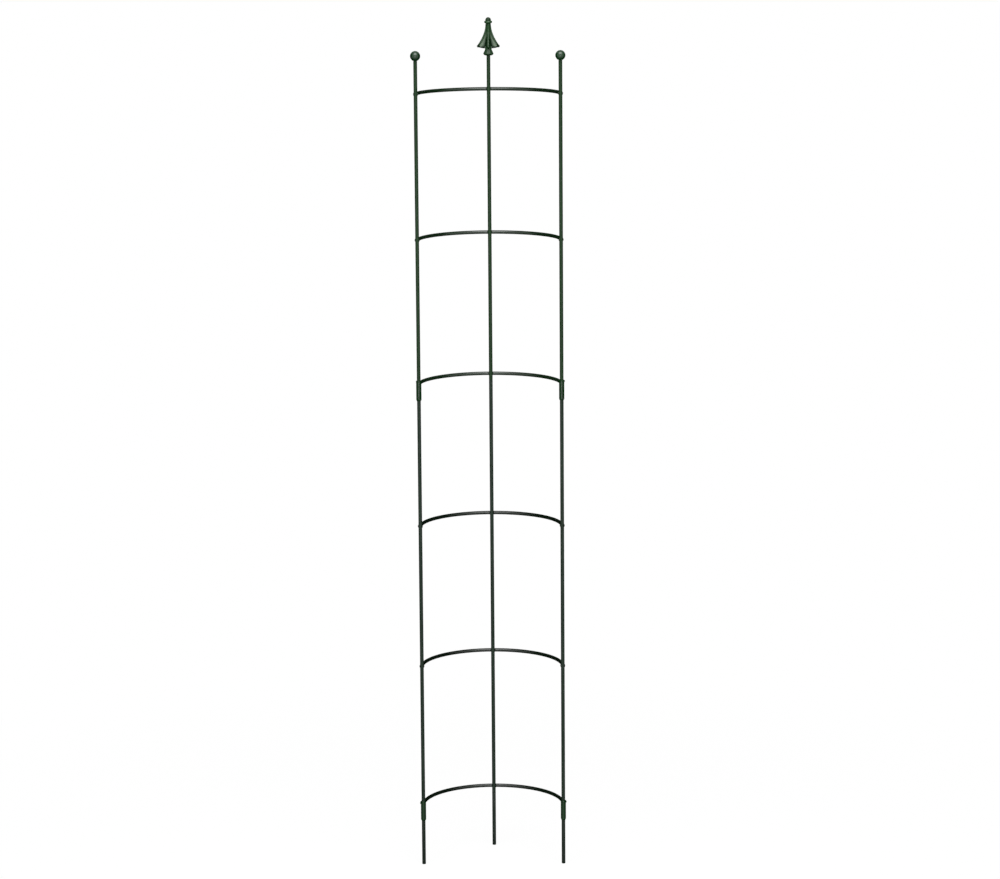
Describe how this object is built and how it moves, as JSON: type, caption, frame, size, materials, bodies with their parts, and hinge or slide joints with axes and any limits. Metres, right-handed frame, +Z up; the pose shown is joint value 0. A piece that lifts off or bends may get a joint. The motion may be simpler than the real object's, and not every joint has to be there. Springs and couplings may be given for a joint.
{
  "type": "half obelisk plant support",
  "caption": "Tall half-round plant support: round uprights joined by semicircular hoops, with ball and spear finials, sleeve joints and push-in ground stakes.",
  "frame": {"origin": "on the ground at the bottom of the stakes, under the middle of the bounding box", "axes": "+Z up along the uprights; +X to the right across the open front, from one side upright to the other; -Y towards the open front, +Y towards the curved back"},
  "size_m": [0.339, 0.1863, 1.9016],
  "materials": {
    "upright": "satin dark green powder coat",
    "hoop": "satin dark green powder coat",
    "sleeve": "satin dark green powder coat",
    "stake": "satin dark green powder coat, greyer",
    "finial": "satin green painted casting",
    "spigot": "bare drawn steel"
  },
  "bodies": {
    "lower_section": {"lower_left_upright": "upright", "lower_right_upright": "upright", "lower_centre_upright": "upright", "lower_hoop_1": "hoop", "lower_hoop_2": "hoop", "lower_hoop_3": "hoop", "lower_left_sleeve": "sleeve", "lower_right_sleeve": "sleeve"},
    "upper_section": {"upper_left_upright": "upright", "upper_right_upright": "upright", "upper_centre_upright": "upright", "upper_hoop_1": "hoop", "upper_hoop_2": "hoop", "upper_hoop_3": "hoop", "upper_left_sleeve": "sleeve", "upper_right_sleeve": "sleeve", "centre_joint_spigot": "spigot", "left_ball_finial": "finial", "right_ball_finial": "finial", "spear_finial": "finial"},
    "left_stake": {"left_ground_stake": "stake"},
    "right_stake": {"right_ground_stake": "stake"},
    "centre_stake": {"centre_ground_stake": "stake"}
  },
  "joints": [
    {"name": "upper_section_lift", "type": "slide", "parent": "lower_section", "child": "upper_section", "axis": [0, 0, 1], "range_m": [0, 0.06]},
    {"name": "left_stake_pull", "type": "slide", "parent": "lower_section", "child": "left_stake", "axis": [0, 0, -1], "range_m": [0, 0.06]},
    {"name": "right_stake_pull", "type": "slide", "parent": "lower_section", "child": "right_stake", "axis": [0, 0, -1], "range_m": [0, 0.06]},
    {"name": "centre_stake_pull", "type": "slide", "parent": "lower_section", "child": "centre_stake", "axis": [0, 0, -1], "range_m": [0, 0.06]}
  ]
}
